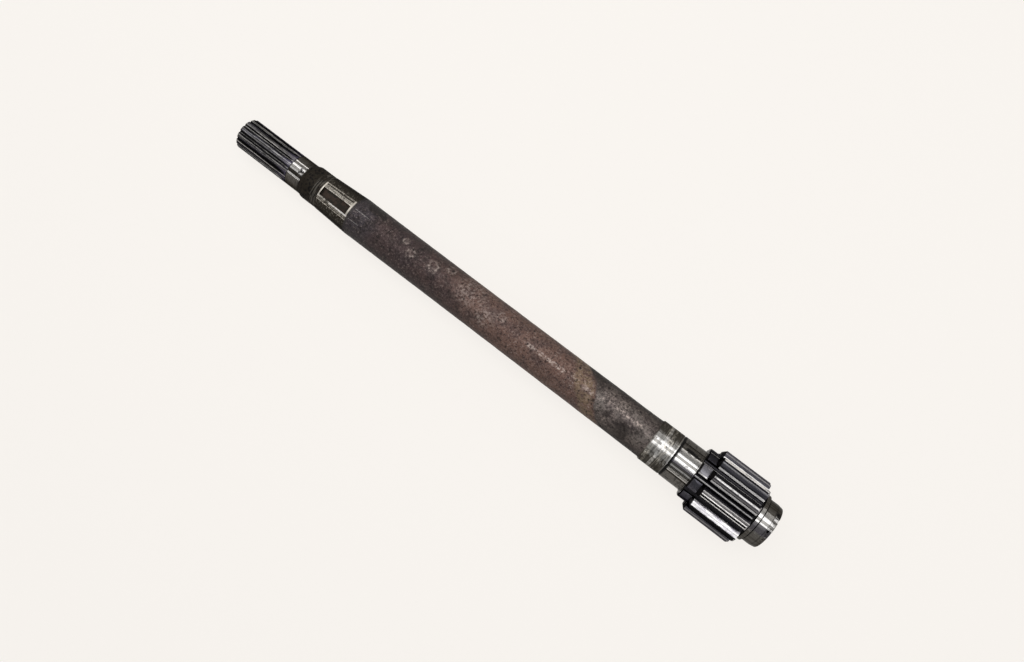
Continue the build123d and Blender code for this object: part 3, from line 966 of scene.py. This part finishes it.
class SHAFT_OT_forge_skin(bpy.types.Operator):
    """Give the shank its uneven forged skin, and dent the shank and the journal's rim"""

    bl_idname = "shaft.forge_skin"
    bl_label = "Forge and dent the skin"

    def execute(self, context):
        wear = context.scene.shaft_wear
        piece = active_piece()
        group = piece.vertex_groups.new(name="forged")
        fade = 9 * MM
        for vertex in piece.data.vertices:
            inside = min(vertex.co.x - SHANK_LEFT, SHANK_RIGHT - vertex.co.x) / fade
            if inside > 0:
                group.add([vertex.index], min(inside, 1.0), "REPLACE")
        roughen(piece, "forging_waves", group.name, wear.forge_size, wear.forge_depth)
        roughen(piece, "skin_pits", group.name, wear.pit_size, wear.pit_depth)
        piece.vertex_groups.clear()
        bpy.ops.object.mode_set(mode="EDIT")
        for x, angle, size in PITS:
            dent(piece, x * MM, angle, size * MM, wear.dent_depth)
        for x, angle, size in RIM_DENTS:
            dent(piece, x * MM, angle, size * MM, wear.rim_dent_depth)
        bpy.ops.object.mode_set(mode="OBJECT")
        return {"FINISHED"}


class SHAFT_OT_finish(bpy.types.Operator):
    """Give each stretch of the shaft its own metal finish, and join the piece to the frame"""

    bl_idname = "shaft.finish"
    bl_label = "Finish the metal"

    def execute(self, context):
        look = context.scene.shaft_colours
        piece = active_piece()
        mesh = piece.data
        made = {}
        for maker, _ in FINISHES:
            if maker not in made:
                made[maker] = len(mesh.materials)
                mesh.materials.append(maker(look))
        keyway = len(mesh.materials)
        mesh.materials.append(keyway_finish(look))
        for face in mesh.polygons:
            maker = next((m for m, end in FINISHES if face.center.x < end + 0.01 * MM), journal_finish)
            face.material_index = keyway if self.in_keyway(face) else made[maker]
        bpy.ops.object.shade_smooth_by_angle(angle=math.radians(32))
        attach(piece, BODY)
        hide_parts(SOLID)
        return {"FINISHED"}

    def in_keyway(self, face):
        """Whether a face is the keyway's floor or wall, and not the taper's own skin."""
        centre = face.center
        outward = Vector((0.0, centre.y, centre.z)).normalized()
        inside = abs(face.normal.dot(outward)) < 0.6 or from_axis(centre) < KEYWAY_INSIDE
        return inside and KEYWAY_LEFT - STEP_GAP < centre.x < KEYWAY_RIGHT + STEP_GAP


def resting_line(mesh):
    """The line in X and Z under the splined end and the teeth, as a point and a slope."""
    left = min((v.co for v in mesh.vertices if v.co.x < SPLINES_END), key=lambda co: co.z)
    right = [v.co for v in mesh.vertices if v.co.x > REAR_FACE]
    slope = min((co.z - left.z) / (co.x - left.x) for co in right)
    return left, slope


def add_softbox(name, angle, distance, width, brightness):
    """A long area lamp over the shaft, facing it. Brightness is its look in a mirror, where 1 is white."""
    middle = -0.45
    length = 2.6
    place = Vector((middle, 0.0, 0.0)) + away_at(angle) * distance
    bpy.ops.object.select_all(action="DESELECT")
    bpy.ops.object.light_add(type="AREA", location=place)
    lamp = bpy.context.object
    lamp.name = name
    lamp.rotation_euler = (math.radians(angle), 0.0, 0.0)
    lamp.data.shape = "RECTANGLE"
    lamp.data.size = length
    lamp.data.size_y = width
    lamp.data.energy = brightness * math.pi * length * width
    lamp.visible_camera = False


class SHAFT_OT_stage(bpy.types.Operator):
    """Lay the pale floor, hang the lamps and place the camera"""

    bl_idname = "shaft.stage"
    bl_label = "Set the stage"

    floor_radius = 3.2
    inner_radius = 1.2
    wall_height = 2.2
    cove_radius = 0.8
    cove_steps = 8

    def execute(self, context):
        studio = context.scene.shaft_studio
        self.lay_floor(studio)
        self.light(context.scene, studio)
        self.place_camera(context.scene, studio)
        context.scene.view_settings.view_transform = "Standard"
        return {"FINISHED"}

    def lay_floor(self, studio):
        """A round floor that curves up into a low wall, tilted to carry the shaft as it lies."""
        left, slope = resting_line(bpy.data.objects[PIECE].data)
        bpy.ops.object.select_all(action="DESELECT")
        bpy.ops.mesh.primitive_circle_add(vertices=96, radius=self.floor_radius, fill_type="NGON")
        floor = bpy.context.object
        floor.name = "floor"
        bpy.ops.object.mode_set(mode="EDIT")
        bpy.ops.mesh.select_all(action="SELECT")
        bpy.ops.mesh.inset(thickness=self.floor_radius - self.inner_radius)
        rim = self.floor_radius - 0.01
        select(floor, lambda edge: all(floor.data.vertices[i].co.length > rim for i in edge.vertices), "EDGE")
        turn = math.pi / 2 / self.cove_steps
        radius = self.floor_radius
        for step in range(self.cove_steps):
            rise = self.cove_radius * (math.cos(step * turn) - math.cos((step + 1) * turn))
            wider = radius + self.cove_radius * (math.sin((step + 1) * turn) - math.sin(step * turn))
            bpy.ops.mesh.extrude_edges_move(TRANSFORM_OT_translate={"value": (0.0, 0.0, rise)})
            bpy.ops.transform.resize(value=(wider / radius, wider / radius, 1.0))
            radius = wider
        bpy.ops.mesh.extrude_edges_move(TRANSFORM_OT_translate={"value": (0.0, 0.0, self.wall_height)})
        bpy.ops.mesh.select_all(action="SELECT")
        bpy.ops.mesh.normals_make_consistent(inside=True)
        bpy.ops.object.mode_set(mode="OBJECT")
        middle = (cad_box[0][0] + cad_box[1][0]) / 2
        floor.rotation_euler = (0.0, -math.atan(slope), 0.0)
        floor.location = (middle, 0.0, left.z + slope * (middle - left.x))
        bpy.ops.object.transform_apply(location=True, rotation=True, scale=True)
        bpy.ops.object.shade_smooth_by_angle(angle=math.radians(30))
        floor.data.materials.append(self.paper(studio, middle))

    def paper(self, studio, middle):
        """Pale paper that fades into an even background further from the shaft."""
        coat = Coat("pale_paper")
        away = coat.vector("DISTANCE", coat.place, (middle / MM, 0.0, -30.0), output=1)
        rays = coat.node("ShaderNodeLightPath", {}, {})
        outputs = rays.socket.node.outputs
        seen = Value(coat, outputs["Is Camera Ray"]) | Value(coat, outputs["Is Glossy Ray"])
        seen = seen | Value(coat, outputs["Is Transmission Ray"])
        even = (1 - studio.shadow) + studio.shadow * coat.rise(away, 500.0, 1500.0)
        colour = (*studio.paper, 1.0)
        matte = coat.node("ShaderNodeBsdfDiffuse", {}, {"Color": colour})
        glow = coat.node("ShaderNodeEmission", {}, {"Color": colour, "Strength": 1.0})
        shader = coat.node("ShaderNodeMixShader", {}, {0: even * seen, 1: matte, 2: glow})
        coat.node("ShaderNodeOutputMaterial", {}, {0: shader})
        return coat.material

    def light(self, scene, studio):
        """A long softbox, two broad fills, two narrow strips and a dim room."""
        add_softbox("key_softbox", -14.0, 1.3, 0.72, studio.key_light)
        add_softbox("rear_fill", -43.0, 1.35, 0.75, studio.rear_light)
        add_softbox("front_fill", 24.0, 1.35, 0.85, studio.front_light)
        add_softbox("rear_strip", -60.5, 1.3, 0.07, studio.strip_light)
        add_softbox("front_strip", 56.0, 1.3, 0.07, studio.strip_light)
        world = bpy.data.worlds.new("room")
        world.use_nodes = True
        background = world.node_tree.nodes["Background"]
        background.inputs["Color"].default_value = (1.0, 1.0, 1.0, 1.0)
        background.inputs["Strength"].default_value = studio.room_light
        scene.world = world

    def place_camera(self, scene, studio):
        """The photo's own view, found by fitting a pinhole camera to the shaft's outline and rings."""
        place = Vector((-96.8, 51.1, 860.4)) * MM
        aim = Vector((-231.8, 2.5, 0.0)) * MM
        up_hint = Vector((-0.603, 0.797, 0.0))
        back = (place - aim).normalized()
        right = up_hint.cross(back).normalized()
        up = back.cross(right)
        camera_data = bpy.data.cameras.new("photo_camera")
        camera_data.lens = studio.lens
        camera_data.sensor_width = 36.0
        camera = bpy.data.objects.new("photo_camera", camera_data)
        camera.matrix_world = Matrix.Translation(place) @ Matrix((right, up, back)).transposed().to_4x4()
        scene.collection.objects.link(camera)
        scene.camera = camera


class SHAFT_PT_sidebar(bpy.types.Panel):
    """Lists the steps that build the shaft, and what can be set"""

    bl_idname = "SHAFT_PT_sidebar"
    bl_label = "Worn pinion shaft"
    bl_space_type = "VIEW_3D"
    bl_region_type = "UI"
    bl_category = "Shaft"

    def draw(self, context):
        for step in STEPS:
            self.layout.operator(step.bl_idname)
        for group in (context.scene.shaft_wear, context.scene.shaft_colours, context.scene.shaft_studio):
            box = self.layout.box()
            for name in group.__annotations__:
                box.prop(group, name)


STEPS = (
    SHAFT_OT_copy_solid,
    SHAFT_OT_wear_teeth,
    SHAFT_OT_round_steps,
    SHAFT_OT_forge_skin,
    SHAFT_OT_finish,
    SHAFT_OT_stage,
)
SETTINGS = {"shaft_wear": ShaftWear, "shaft_colours": ShaftColours, "shaft_studio": StudioSettings}
CLASSES = (*SETTINGS.values(), *STEPS, SHAFT_PT_sidebar)


def register():
    for item in CLASSES:
        bpy.utils.register_class(item)
    for name, group in SETTINGS.items():
        setattr(bpy.types.Scene, name, bpy.props.PointerProperty(type=group))


def unregister():
    for name in SETTINGS:
        delattr(bpy.types.Scene, name)
    for item in reversed(CLASSES):
        bpy.utils.unregister_class(item)


def main():
    register()
    bpy.ops.shaft.copy_solid()
    bpy.ops.shaft.wear_teeth()
    bpy.ops.shaft.round_steps()
    bpy.ops.shaft.forge_skin()
    bpy.ops.shaft.finish()
    bpy.ops.shaft.stage()


if __name__ == "__main__":
    main()
